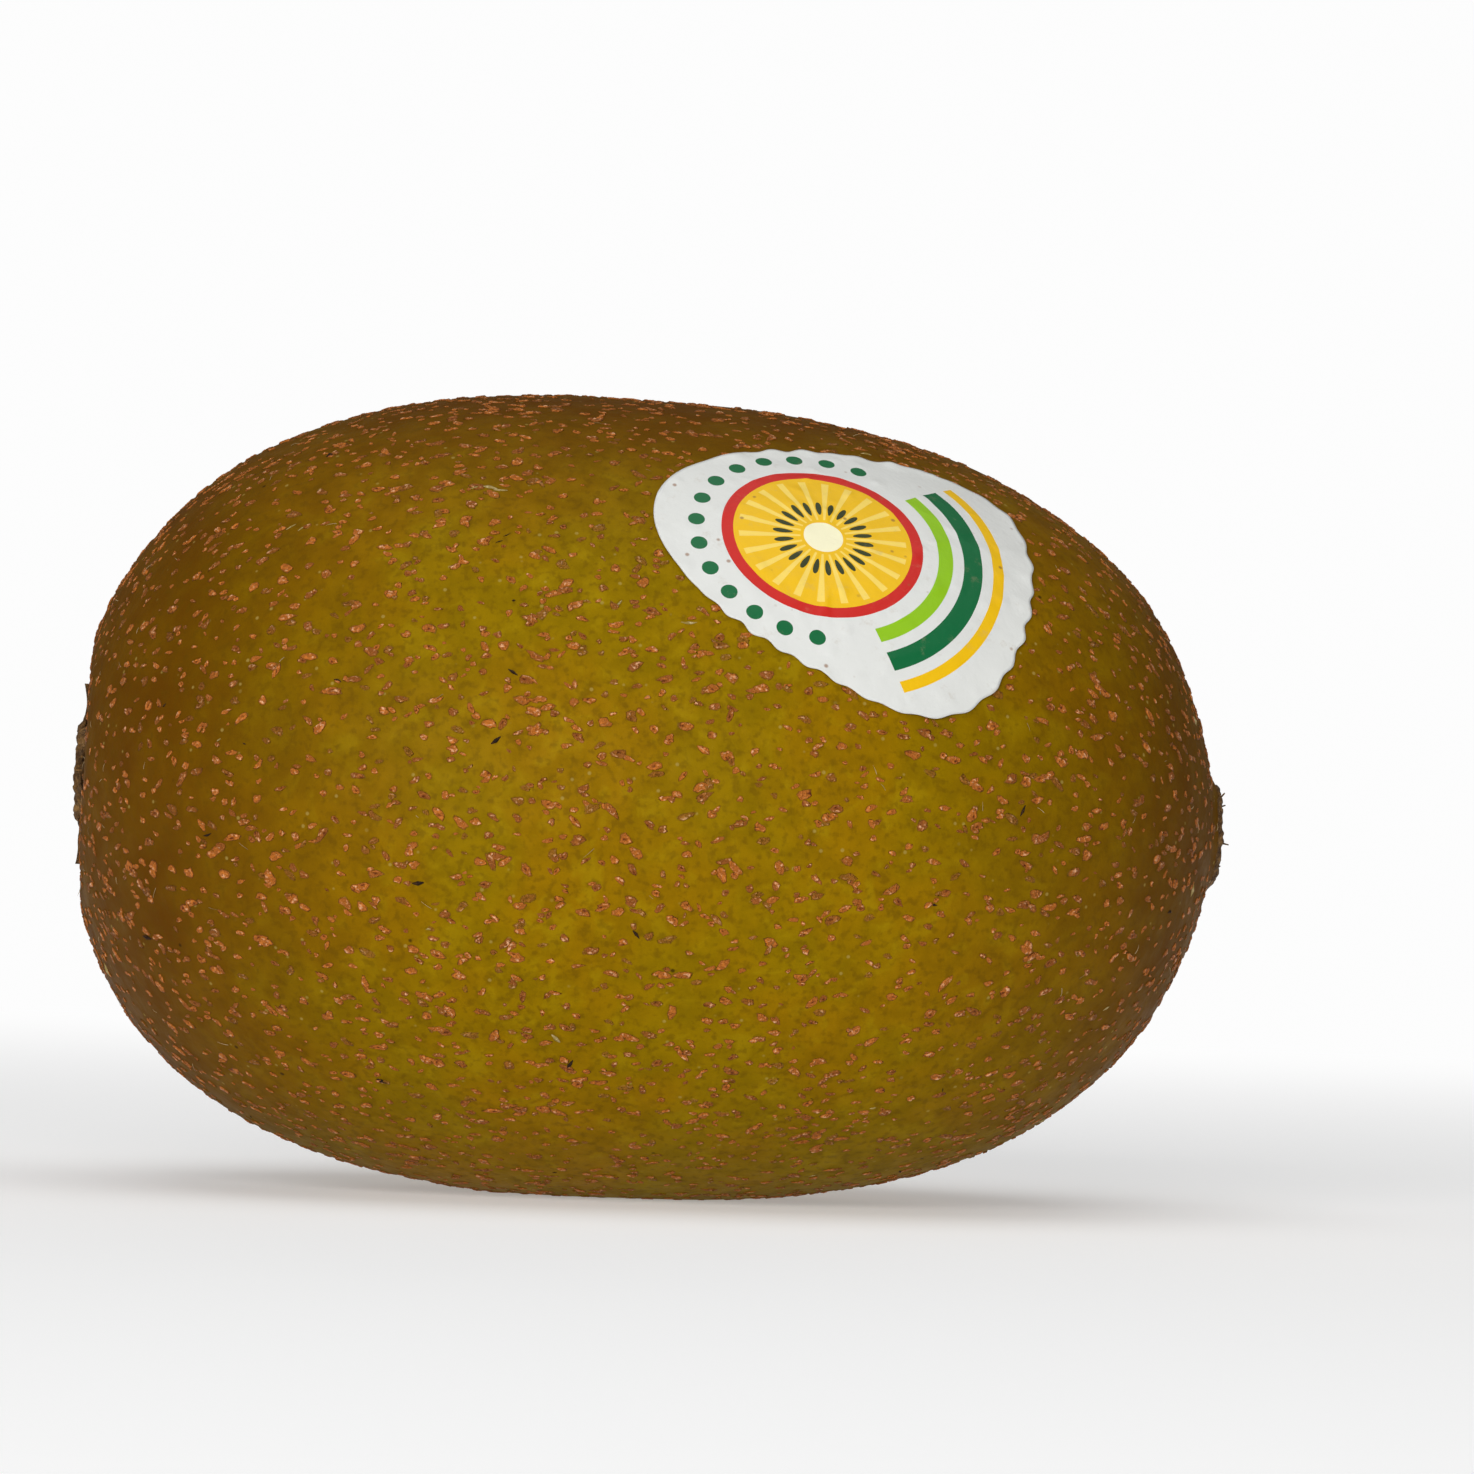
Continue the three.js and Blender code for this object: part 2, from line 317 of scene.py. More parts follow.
def closed_faces(rings, around, first=0, mirrored=False):
    """Faces of rings of points, closed at both ends by the two points that come before them."""
    start, last = first + 2, first + 2 + (rings - 1) * around
    steps = [(step, (step + 1) % around) for step in range(around)]
    faces = [face[::-1] for face in ring_faces(rings, around, start)]
    faces += [(first, start + step, start + following) for step, following in steps]
    faces += [(first + 1, last + following, last + step) for step, following in steps]
    return [face[::-1] for face in faces] if mirrored else faces


def closed_sheet(name, middle, upper, lower, mirrored=False):
    """A thin closed sheet: rings of points from its middle outwards, and back below them."""
    rings, around = upper.shape[:2]
    points = np.concatenate([middle, upper.reshape(-1, 3), lower[::-1].reshape(-1, 3)])
    return mesh_from(name, points, closed_faces(2 * rings, around, mirrored=mirrored))


# Materials.


def node(tree, kind, inputs=(), output=0, **settings):
    """Add a shader node with its settings, give its inputs values or links, and return an output."""
    made = tree.nodes.new("ShaderNode" + kind)
    for setting, value in settings.items():
        setattr(made, setting, value)
    for socket, value in inputs.items() if isinstance(inputs, dict) else enumerate(inputs):
        if isinstance(value, bpy.types.NodeSocket):
            tree.links.new(value, made.inputs[socket])
        else:
            made.inputs[socket].default_value = value
    return made.outputs[output] if made.outputs else made


def new_material(name, fill, *values):
    """A material whose node tree a function fills."""
    material = bpy.data.materials.new(name)
    material.use_nodes = True
    material.node_tree.nodes.clear()
    fill(material.node_tree, *values)
    return material


def finish_surface(tree, colour, roughness, gloss, height=None, depth_mm=0.0, **others):
    """Give a material its shader, with relief of a real depth where it has a height."""
    inputs = {"Base Color": colour, "Roughness": roughness, "Specular IOR Level": gloss, **others}
    if height is not None:
        inputs["Normal"] = node(tree, "Bump", {"Height": height, "Distance": depth_mm * MM})
    node(tree, "OutputMaterial", {"Surface": node(tree, "BsdfPrincipled", inputs)})


def per_metre(feature_mm):
    """Pattern scale that gives features of a real size in millimetres."""
    return 1 / (feature_mm * MM)


def patches(tree, feature_mm, low, high, detail=3.0, roughness=0.5, distortion=0.0, ease="SMOOTHSTEP"):
    """Patches of a real size over the object: 0 where their noise is low and 1 where it is high."""
    pattern = {
        "Vector": node(tree, "TexCoord", output="Object"), "Scale": per_metre(feature_mm),
        "Detail": detail, "Roughness": roughness, "Distortion": distortion,
    }
    return node(tree, "MapRange", (node(tree, "TexNoise", pattern), low, high), interpolation_type=ease)


def scattered_dots(tree, spacing_mm, outer, inner, fewest, most):
    """Soft dots at about a real spacing, of which the last two values leave some out."""
    pattern = {"Vector": node(tree, "TexCoord", output="Object"), "Scale": per_metre(spacing_mm)}
    cells = node(tree, "TexVoronoi", pattern).node.outputs
    ranges = ((cells["Distance"], outer, inner), (cells["Color"], fewest, most))
    masks = [node(tree, "MapRange", values, interpolation_type="SMOOTHSTEP") for values in ranges]
    return node(tree, "Math", masks, operation="MULTIPLY")


def layered(tree, colour, *layers):
    """Lay colours over the first one: each has a mask, its strength and the colour."""
    # A mix node of colours takes its factor and colours at 0, 6 and 7, and gives its colour at 2.
    for mask, strength, over in layers:
        amount = node(tree, "Math", (mask, strength), operation="MULTIPLY")
        colour = node(tree, "Mix", {0: amount, 6: colour, 7: over}, output=2, data_type="RGBA")
    return colour


def blotches(tree):
    """Small darker blotches in the skin."""
    return patches(tree, 1.7, 0.3, 0.7, detail=4.0, roughness=0.6)


def bronzed_and_shaded_parts(tree):
    """How far the skin is browned and darkened with painted shade: the mesh's own share of both, made
    uneven.
    """
    cast = node(tree, "Attribute", output="Fac", attribute_name="bronzing_and_shade")
    grain = patches(tree, 3.4, 0, 1, detail=4.0, ease="LINEAR")
    uneven = node(tree, "Math", (grain, 0.5, -0.25), operation="MULTIPLY_ADD")
    room = node(tree, "MapRange", (cast, 0, 0.4), interpolation_type="SMOOTHSTEP")
    return node(tree, "Math", (uneven, room, cast), operation="MULTIPLY_ADD", use_clamp=True)


def skin_colour(tree):
    """Olive skin in clouds and blotches, browned and darkened with painted shade where the mesh's share
    of both says.
    """
    look = skin_look()
    clouded = layered(tree, look.olive, (patches(tree, 9.0, 0.38, 0.62), 1, look.green))
    darker = node(tree, "HueSaturation", {"Value": 0.74, "Color": clouded})
    sunny = patches(tree, 2.3, 0.52, 0.7, detail=4.0, roughness=0.6, distortion=0.5)
    return layered(
        tree, clouded,
        (blotches(tree), 0.8, darker),
        (sunny, 0.45, linear("#9d8206")),
        # Painted shade, partly real browning: bronze darkens both ends and the upper side.
        (bronzed_and_shaded_parts(tree), 1, look.bronze_and_shade),
        (patches(tree, 0.5, 0.48, 0.7), 0.42, linear("#5a3f04")),
    )


def ripe_skin(tree):
    """Thin, hairless skin, grown smooth with a faint wax: satin, clouded olive and bronze, the bronze
    partly painted shade.

    Tiny unraised dots, pale and dark, lie between the specks.
    """
    colour = layered(
        tree, skin_colour(tree),
        (scattered_dots(tree, 1.0, 0.15, 0.0675, 0.55, 0.61), 0.5, linear("#a8924c")),
        (scattered_dots(tree, 2.6, 0.07, 0.0315, 0.72, 0.78), 0.8, linear("#2c1c04")),
    )
    satin = (blotches(tree), 0, 1, 0.5, 0.6)
    roughness = node(tree, "MapRange", satin, interpolation_type="SMOOTHSTEP")
    pores = patches(tree, 0.8, 0, 1, ease="LINEAR")
    finish_surface(tree, colour, roughness, 0.03, pores, 0.07, IOR=1.45)


def speck_cork(tree):
    """Cork that grew over breathing pores: dry and matt, rust with painted shade in its pits and a tan
    painted highlight on its raised tops.

    It fades into the skin at its edge, and more so where it is young; some have a painted shadow,
    darker brown, at that edge.
    """
    look = skin_look()
    tone, crest, heart = (
        node(tree, "Attribute", output="Fac", attribute_name=name)
        for name in ("tone", "crest", "heart")
    )
    crumbs = patches(tree, 0.2, 0.36, 0.64)
    rim = node(tree, "Math", (crumbs, 0.4, heart), operation="MULTIPLY_ADD")
    ranges = {
        "rusty": (tone, 0.3, 0.7), "raised": (crest, 0.02, 0.5), "shadowed": (crumbs, 0.45, 0.0),
        "top": (crest, 0.7, 1.15), "highlight_spots": (crumbs, 0.3, 0.9), "young": (tone, 0.25, 0.0),
        "edge": (rim, 0.95, 0.25), "shadow_edge": (tone, 0.35, 0.75, 0.05, 0.4),
    }
    masks = {
        name: node(tree, "MapRange", values, interpolation_type="SMOOTHSTEP")
        for name, values in ranges.items()
    }
    skin = skin_colour(tree)
    colour = layered(
        # Painted shade: pits and low parts keep this dark brown under the rust.
        tree, linear("#5c2408"),
        (masks["raised"], 1, layered(tree, linear("#9c5a20"), (masks["rusty"], 1, look.rust))),
        (masks["shadowed"], 0.4, linear("#64290a")),
        # Painted highlight: tan on the raised tops, in spots.
        (masks["top"], masks["highlight_spots"], look.tan),
        (masks["young"], 0.5, skin),
        # Painted shadow: a darker brown edge on some specks.
        (masks["edge"], 1, layered(tree, skin, (masks["shadow_edge"], 1, linear("#5a3208")))),
    )
    finish_surface(tree, colour, 0.5, 0.14, crumbs, 0.1)


def dried_bark(tree, feature_mm, hex_dark, hex_fleck="#b08a58"):
    """Dead plant fibre, dried and shrunk: matt brown, streaked dark and light."""
    streaks = patches(tree, feature_mm, 0.35, 0.66, detail=6.0, roughness=0.7, distortion=0.15)
    flecks = patches(tree, feature_mm * 0.35, 0.5, 0.68, detail=4.0, roughness=0.7)
    layers = ((streaks, 1, skin_look().bark), (flecks, 0.5, linear(hex_fleck)))
    colour = layered(tree, linear(hex_dark), *layers)
    finish_surface(tree, colour, 0.8, 0.25, streaks, 0.14)


def healed_scratch(tree):
    """A scratch that healed over with pale dead cells: matt and straw grey."""
    colour = layered(tree, linear("#8a7434"), (patches(tree, 0.25, 0.35, 0.7), 1, linear("#b5a273")))
    finish_surface(tree, colour, 0.6, 0.2)


def dried_sap(tree):
    """Sap and dirt dried in a pit: nearly black, rough at the edge."""
    colour = layered(tree, linear("#1b0c03"), (patches(tree, 0.2, 0.4, 0.7), 1, linear("#3d2408")))
    finish_surface(tree, colour, 0.7, 0.2)


def dry_hair(tree):
    """Short hollow hairs, dead and dry: pale straw and a little glossy."""
    tone = patches(tree, 3.0, 0.3, 0.7, detail=2.0)
    colour = layered(tree, linear("#7a5a2c"), (tone, 1, linear("#c9b084")))
    finish_surface(tree, colour, 0.5, 0.5)


# Skin and specks.

SKIN_RINGS, SKIN_AROUND = 260, 370
POLE_CROWDING = 0.75

# Spots tried for each one wanted, since many are too near to another one.
SPOTS_TRIED = 4.4

# Specks: share that have a twin, and how far off it lies.
TWIN_SHARE, TWIN_NEAREST, TWIN_FURTHEST = 0.22, 0.28, 0.5
# Their sides, their usual radius and height with the limits of both, how wide a pit is, and how
# deep they root.
SPECK_SIDES, SPECK_PIT, SPECK_ROOT = 9, 0.21, 0.2
SPECK_RADIUS, SPECK_RADIUS_LIMITS = 0.222, (0.1, 0.37)
SPECK_HEIGHT, SPECK_HEIGHT_LIMITS = 0.06, (0.02, 0.09)
# Waves in their outline: how many go round, and how strong they are.
SPECK_WAVES = ((2, 0.18), (3, 0.2), (5, 0.12))
# Their rings: share of the radius, share of the height, and how corky they look.
SPECK_RINGS = ((0.36, 1, 1), (0.74, 0.9, 0.9), (1.0, 0.15, 0.3), (1.18, -0.7, 0))
# No speck grows nearer to the long axis than this, at the stem end and at the blossom end.
STEM_CLEARANCE, BLOSSOM_CLEARANCE = 4.2, 4.0


def ring_places(rings):
    """Places of the rings from end to end, crowded together at the poles."""
    share = np.linspace(0, 1, rings // 2 + 1)
    turn = np.pi / 2 * share * (1 - POLE_CROWDING + POLE_CROWDING * share)
    half = np.cos(turn) ** (2 / shape().end_power)
    return np.concatenate([-half[:-1], [0], half[:-1][::-1]])


def bronzing_and_shade(points, place):
    """Share of browning and painted shade: at both ends and along the upper side, which are darkened.
    """
    height = points[:, 2] / half_sizes()[2]
    # How far up or along; where browning and painted shade start and how far on they are full; their
    # ease; their most.
    top = (height, 0.52, 0.43, 1.4, 0.97)
    stem = (-place, 0.25, 0.55, 1.4, 0.9)
    blossom = (place, 0.4, 0.5, 1.2, 0.85)
    unbrowned_unshaded = 1.0
    for far, start, reach, ease, most in (top, stem, blossom):
        unbrowned_unshaded = unbrowned_unshaded * (1 - most * np.clip((far - start) / reach, 0, 1) ** ease)
    return 1 - unbrowned_unshaded


class KIWI_OT_skin(bpy.types.Operator):
    """Grow the skin, with both ends shaped"""

    bl_idname = "kiwi.skin"
    bl_label = "Skin"

    def execute(self, context):
        places = ring_places(SKIN_RINGS)[1:-1]
        place, latitude = np.meshgrid(places, turns(SKIN_AROUND), indexing="ij")
        points = skin_point(place, latitude)
        poles = [points[0].mean(0), points[-1].mean(0)]
        points = np.concatenate([poles, points.reshape(-1, 3)])
        mesh = mesh_from("skin", points, closed_faces(len(places), SKIN_AROUND))
        spread = np.concatenate([[-1.0, 1.0], place.ravel()])
        add_attribute(mesh, "bronzing_and_shade", bronzing_and_shade(points, spread))
        finish_piece(mesh, new_material("ripe_kiwifruit_skin", ripe_skin))
        return {"FINISHED"}


def strewn_places(count, spacing, seed):
    """Seeded places spread evenly over the skin, with gaps that vary."""
    draw = np.random.default_rng(seed)
    tries = int(count * SPOTS_TRIED)
    place = draw.uniform(-1, 1, tries)
    latitude = draw.uniform(0, FULL_TURN, tries)
    slope = bare_point(place + STEP, latitude) - bare_point(place - STEP, latitude)
    area = girth(place) * np.linalg.norm(slope, axis=-1) / (2 * STEP)
    kept = draw.uniform(0, np.quantile(area, 0.999), tries) < area
    place, latitude = place[kept], latitude[kept]
    points = bare_point(place, latitude)
    tree = kdtree.KDTree(len(points))
    for index, point in enumerate(points):
        tree.insert(point, index)
    tree.balance()
    gaps = spacing * draw.lognormal(0, 0.45, len(points))
    taken = np.zeros(len(points), bool)
    for index, point in enumerate(points):
        near = tree.find_range(point, gaps[index])
        taken[index] = not any(taken[other] for _, other, _ in near)
        if taken.sum() >= count:
            break
    return place[taken], latitude[taken], draw


def ragged_outline(draw, count, angle):
    """Uneven outlines, as shares of a circle's radius."""
    ragged = 1.0
    for wave, amount in SPECK_WAVES:
        size = draw.uniform(0.3, 1, (count, 1)) * amount
        ragged = ragged + size * np.cos(wave * angle + draw.uniform(0, FULL_TURN, (count, 1)))
    return ragged


def with_twins(place, latitude, draw):
    """Give some specks a neighbour that they run into."""
    half_length, _, half_height = half_sizes()
    chosen = draw.random(len(place)) < TWIN_SHARE
    away = draw.uniform(TWIN_NEAREST, TWIN_FURTHEST, chosen.sum())
    turn = draw.uniform(0, FULL_TURN, chosen.sum())
    along = place[chosen] + away * np.cos(turn) / half_length
    around = latitude[chosen] + away * np.sin(turn) / (girth(place[chosen]) * half_height)
    along = np.clip(along, -0.995, 0.995)
    return np.concatenate([place, along]), np.concatenate([latitude, around])


def speck_mesh(name, place, latitude, draw):
    """Low crusts with a pit and a ragged outline, each closed by a root point under the skin."""
    column, grid = (len(place), 1), (len(place), SPECK_SIDES)
    radius = np.clip(SPECK_RADIUS * draw.lognormal(0, 0.31, column), *SPECK_RADIUS_LIMITS)
    height = SPECK_HEIGHT * (radius / 0.2) ** 0.7 * draw.lognormal(0, 0.3, column)
    height = np.clip(height, *SPECK_HEIGHT_LIMITS)
    angle = turns(SPECK_SIDES)[None, :]
    ragged = ragged_outline(draw, len(place), angle)
    stretch = draw.uniform(1.05, 1.6, column)
    spin = draw.normal(0, 0.5, column)
    depth = draw.choice([0.3, 0.6, 1.0], column)
    pit_turn = draw.uniform(0, FULL_TURN, column)
    pit_way = draw.uniform(0.1, 0.6, column)
    centres = skin_point(place, latitude)[:, None]
    along, across, outward = (axis[:, None] for axis in bare_frame(place, latitude))
    rings, crests, hearts = [], [], []
    for share, level, heart in SPECK_RINGS:
        reach = share * ragged * draw.uniform(0.9, 1.1, grid)
        from_pit = reach**2 + pit_way**2 - 2 * reach * pit_way * np.cos(angle - pit_turn)
        rough = draw.uniform(0.55, 1.35, grid) if level > 0.5 else np.ones(grid)
        unsunk = 1 - depth * np.exp(-from_pit / SPECK_PIT) if level > 0 else 1.0
        rise = level * rough * unsunk
        main, cross = reach * np.cos(angle) * stretch, reach * np.sin(angle) / stretch
        u = radius * (main * np.cos(spin) - cross * np.sin(spin))
        v = radius * (main * np.sin(spin) + cross * np.cos(spin))
        offset = u[..., None] * along + v[..., None] * across
        rings.append(centres + offset + (height * rise)[..., None] * outward)
        crests.append(np.clip(rise, 0, 1.3))
        hearts.append(np.full(grid, heart))
    middle = 1 - depth * np.exp(-(pit_way**2) / SPECK_PIT)
    top = centres + outward * (height * middle)[..., None]
    points = np.concatenate([top, centres - outward * SPECK_ROOT, *rings], 1)
    size = points.shape[1]
    one_speck = closed_faces(len(rings), SPECK_SIDES)
    starts = range(0, len(place) * size, size)
    faces = [[start + corner for corner in face] for start in starts for face in one_speck]
    points = points.reshape(-1, 3)
    mesh = mesh_from(name, points, faces)
    add_attribute(mesh, "tone", np.repeat(draw.uniform(0, 1, len(place)), size))
    add_attribute(mesh, "crest", np.concatenate([middle, middle, *crests], 1))
    add_attribute(mesh, "heart", np.concatenate([np.ones((len(place), 2)), *hearts], 1))
    add_attribute(mesh, "bronzing_and_shade", bronzing_and_shade(points, np.repeat(place, size)))
    return mesh


class KIWI_OT_specks(bpy.types.Operator):
    """Raise the russet specks of the skin"""

    bl_idname = "kiwi.specks"
    bl_label = "Russet specks"

    SIDES = ("front", "upper_front", "upper_back", "back", "lower_back", "lower_front")

    def execute(self, context):
        place, latitude, draw = strewn_places(skin_look().specks, spacing=0.7, seed=11)
        place, latitude = with_twins(place, latitude, draw)
        from_axis = girth(place) * half_sizes()[2]
        clear = ~inside_label(*label_coordinates(place, latitude), 0.1)
        clear &= from_axis > np.where(place < 0, STEM_CLEARANCE, BLOSSOM_CLEARANCE)
        place, latitude = place[clear], latitude[clear]
        material = new_material("russet_cork", speck_cork)
        side_width = FULL_TURN / len(self.SIDES)
        side_number = ((latitude + side_width / 2) // side_width).astype(int) % len(self.SIDES)
        for number, side in enumerate(self.SIDES):
            here = side_number == number
            mesh = speck_mesh(f"russet_specks_{side}", place[here], latitude[here], draw)
            finish_piece(mesh, material)
        return {"FINISHED"}


# The two ends.

CRUST_RINGS, CRUST_AROUND, CRUST_ROOT = 34, 120, 0.35
SCAR_REACH, NOSE_REACH = 3.9, 3.6
# Raggedness of a crust's outline: how much, and how fast it changes round the axis.
CRUST_RAGGED = ((0.26, 1.3), (0.17, 4.0))

SEPALS, SEPAL_DOWN, SEPAL_ACROSS = 5, 22, 15
SEPAL_START, SEPAL_THICKNESS = 2.35, 0.16

# Styles: how many there are, and how far from the axis their rings stand.
STYLES, STYLE_RINGS = 34, (0.5, 1.1, 1.7)

# Threads: how many rings of points each kind has, and how many points to a ring.
STYLE_MESH, RIDGE_MESH, HAIR_MESH = (9, 5), (7, 6), (5, 4)


def end_place(end, distance):
    """The place at a distance from the long axis, near the stem end (-1) or the blossom end (1)."""
    form = shape()
    share = distance / (half_sizes()[2] * (1 - form.taper * end))
    return end * (1 - share**form.side_power) ** (1 / form.end_power)


def ring_noise(latitude, pace, seed):
    """Noise round the axis, the same where the turn closes."""
    spots = zip(pace * np.cos(latitude), pace * np.sin(latitude))
    return np.array([noise.noise(Vector((x, y, 7.3 * seed))) for x, y in spots])


def crust_lift(share, turn, flat):
    """Height of the corky crust: furrowed across its rim and worn off at its edge."""
    rough = np.array([noise.fractal(Vector(p) * 1.6, 0.8, 2.2, 5) for p in flat.reshape(-1, 3)])
    furrows = 0.06 * np.sin(23 * turn + 2.2 * np.sin(3 * turn))
    furrows *= np.clip(share * 2, 0, 1) * (1 - share**3)
    edge = np.clip((share - 0.75) / 0.25, 0, 1) ** 2
    return 0.17 + 0.1 * rough.reshape(share.shape) + furrows - 0.36 * edge


def end_crust(name, end, reach):
    """A closed crust on one end: a polar sheet at a height above the skin, over one sunk in it."""
    distance = reach * np.linspace(0, 1, CRUST_RINGS + 1)[1:] ** 0.85
    latitude = turns(CRUST_AROUND)
    far, turn = np.meshgrid(distance, latitude, indexing="ij")
    ragged = sum(amount * ring_noise(latitude, pace, end) for amount, pace in CRUST_RAGGED)
    far = far * (1 + ragged * far / reach)
    flat = bare_point(end_place(end, far), turn)
    outwards = np.array([end, 0, 0])
    rise = crust_lift(far / reach, turn, flat) + waviness(flat)
    upper = flat + outwards * rise[..., None]
    lower = flat - outwards * CRUST_ROOT
    return closed_sheet(name, [upper[0].mean(0), lower[0].mean(0)], upper, lower, end > 0)


def sepal_sheet(angle, length, width, draw):
    """Points of one dried sepal's face: ovate, curled up at its edges and tip, and ribbed."""
    down, across = np.linspace(0, 1, SEPAL_DOWN), np.linspace(-1, 1, SEPAL_ACROSS)
    t, v = np.meshgrid(down, across, indexing="ij")
    half = width / 2 * (1 - t**2.1) * (0.72 + 0.55 * t) + 0.05
    twist = draw.uniform(-0.25, 0.25)
    radial = SEPAL_START + length * t
    lateral = half * v + twist * t**2
    curl = draw.uniform(0.2, 0.42)
    ribs = 0.05 * np.cos(5 * np.pi * v) * (1 - t)
    spots = zip(radial.ravel(), lateral.ravel())
    crumple = 0.12 * np.array([noise.noise(Vector((r, s, 9 * angle))) for r, s in spots])
    arch = -0.42 - 0.75 * t + 0.45 * t**4
    out = arch + curl * v**2 * (0.3 + 0.7 * t) + ribs + crumple.reshape(t.shape)
    x = -half_sizes()[0] - out
    y = -(radial * math.cos(angle) - lateral * math.sin(angle))
    z = radial * math.sin(angle) + lateral * math.cos(angle)
    return np.stack([x, y, z], -1)


def blade_faces(down, across, first):
    """Faces of a closed thin blade: a grid, its twin below and the strip round their edge."""
    grid = np.arange(down * across).reshape(down, across)
    top = np.stack([grid[:-1, :-1], grid[1:, :-1], grid[1:, 1:], grid[:-1, 1:]], -1).reshape(-1, 4)
    sheets = np.stack([top, top[:, ::-1] + grid.size], 1).reshape(-1, 4)
    edge = np.array([*grid[0], *grid[1:, -1], *grid[-1, -2::-1], *grid[-2:0:-1, 0]])
    following = np.roll(edge, -1)
    strip = np.stack([edge, following, following + grid.size, edge + grid.size], -1)
    return (np.concatenate([sheets, strip]) + first).tolist()


class KIWI_OT_stem_end(bpy.types.Operator):
    """Add the stalk's corky scar and the dried sepals round it"""

    bl_idname = "kiwi.stem_end"
    bl_label = "Stem end"

    def execute(self, context):
        scar = end_crust("stalk_scar", -1, SCAR_REACH)
        finish_piece(scar, new_material("stalk_scar_cork", dried_bark, 0.8, "#3f2812"))
        draw = np.random.default_rng(5)
        points = []
        faces = []
        for sepal in range(SEPALS):
            angle = FULL_TURN * (sepal + 0.2 * math.sin(3 * sepal)) / SEPALS
            face = sepal_sheet(angle, draw.uniform(3.2, 3.8), draw.uniform(2.5, 3.1), draw)
            under = face + np.array([SEPAL_THICKNESS, 0, 0])
            faces += blade_faces(SEPAL_DOWN, SEPAL_ACROSS, len(points))
            points += [*face.reshape(-1, 3), *under.reshape(-1, 3)]
        material = new_material("dried_sepal", dried_bark, 0.6, "#3a240d", "#946c3e")
        finish_piece(mesh_from("sepals", points, faces), material)
        return {"FINISHED"}


def thread(root, direction, bend, length, thickness, steps, sides):
    """Rings of points of a tapering, bent thread."""
    t = np.linspace(0, 1, steps)[:, None]
    path = root + direction * length * t + bend * length * t**2
    tangent = direction + 2 * bend * t
    tangent /= np.linalg.norm(tangent, axis=1, keepdims=True)
    side = np.cross(tangent, [0.31, 0.62, 0.72])
    side /= np.linalg.norm(side, axis=1, keepdims=True)
    other = np.cross(tangent, side)
    angle = turns(sides)[None, :, None]
    ring = np.cos(angle) * side[:, None] + np.sin(angle) * other[:, None]
    radius = thickness / 2 * (1 - 0.75 * t)
    return path[:, None] + radius[:, None] * ring


def thread_mesh(name, threads):
    """One mesh of many threads, each closed at both ends."""
    points = []
    faces = []
    for rings in threads:
        faces += closed_faces(*rings.shape[:2], len(points), mirrored=True)
        points += [rings[0].mean(0), rings[-1].mean(0), *rings.reshape(-1, 3)]
    return mesh_from(name, points, faces)


def style(number, draw):
    """One dried style, rooted in the nose and leaning outwards."""
    angle = FULL_TURN * (number + 0.6 * draw.random()) / STYLES
    distance = draw.choice(STYLE_RINGS) * draw.uniform(0.85, 1.15)
    outwards = np.array([0, math.cos(angle), math.sin(angle)])
    root = outwards * distance + [half_sizes()[0] + blossom_relief(distance) - 0.25, 0, 0]
    lean = 0.35 * distance * draw.uniform(0.6, 1.3)
    direction = np.array([math.cos(lean), 0, 0]) + outwards * math.sin(lean)
    bend = outwards * draw.uniform(0.0, 0.35) + draw.normal(0, 0.12, 3)
    length, thickness = draw.uniform(1.1, 1.55), draw.uniform(0.26, 0.38)
    return thread(root, direction, bend, length, thickness, *STYLE_MESH)


class KIWI_OT_blossom_end(bpy.types.Operator):
    """Add the crust of the nose and the dried styles that stand in it"""

    bl_idname = "kiwi.blossom_end"
    bl_label = "Blossom end"

    def execute(self, context):
        scar = end_crust("blossom_scar", 1, NOSE_REACH)
        finish_piece(scar, new_material("blossom_scar_cork", dried_bark, 0.7, "#3d2610"))
        draw = np.random.default_rng(9)
        threads = [style(number, draw) for number in range(STYLES)]
        material = new_material("dried_style", dried_bark, 0.4, "#51351a", "#c09a68")
        finish_piece(thread_mesh("styles", threads), material)
        return {"FINISHED"}


# Blemishes and hairs.


def strewn_ridges(name, seen, others, seed):
    """Short low ridges, half sunk in the skin: the seen ones, and others low down or behind."""
    place, latitude, draw = strewn_places(others, spacing=9.0, seed=seed)
    _, y, z = bare_point(place, latitude).T
    hidden = (z < 8) | (y > 8)
    hidden &= ~inside_label(*label_coordinates(place, latitude), 1.0)
    spots = list(seen)
    for index in np.flatnonzero(hidden):
        turn, long = draw.normal(0, 0.7), draw.uniform(0.25, 0.9)
        spots.append((place[index], latitude[index], turn, long, long * draw.uniform(0.12, 0.5)))
    threads = []
    for place_here, latitude_here, turn, long, thick in spots:
        here = np.array([place_here]), np.array([latitude_here])
        along, across, outward = (axis[0] for axis in bare_frame(*here))
        lying = along * math.cos(turn) + across * math.sin(turn)
        middle = skin_point(*here, 0.02 - 0.1 * thick)[0] + lying * long / 2
        bend = outward * -0.02 + across * draw.normal(0, 0.12)
        for way in (1, -1):
            ridge = thread(middle, way * lying, bend, long / 2, min(thick, 0.3), *RIDGE_MESH)
            threads.append(ridge)
    return thread_mesh(name, threads)


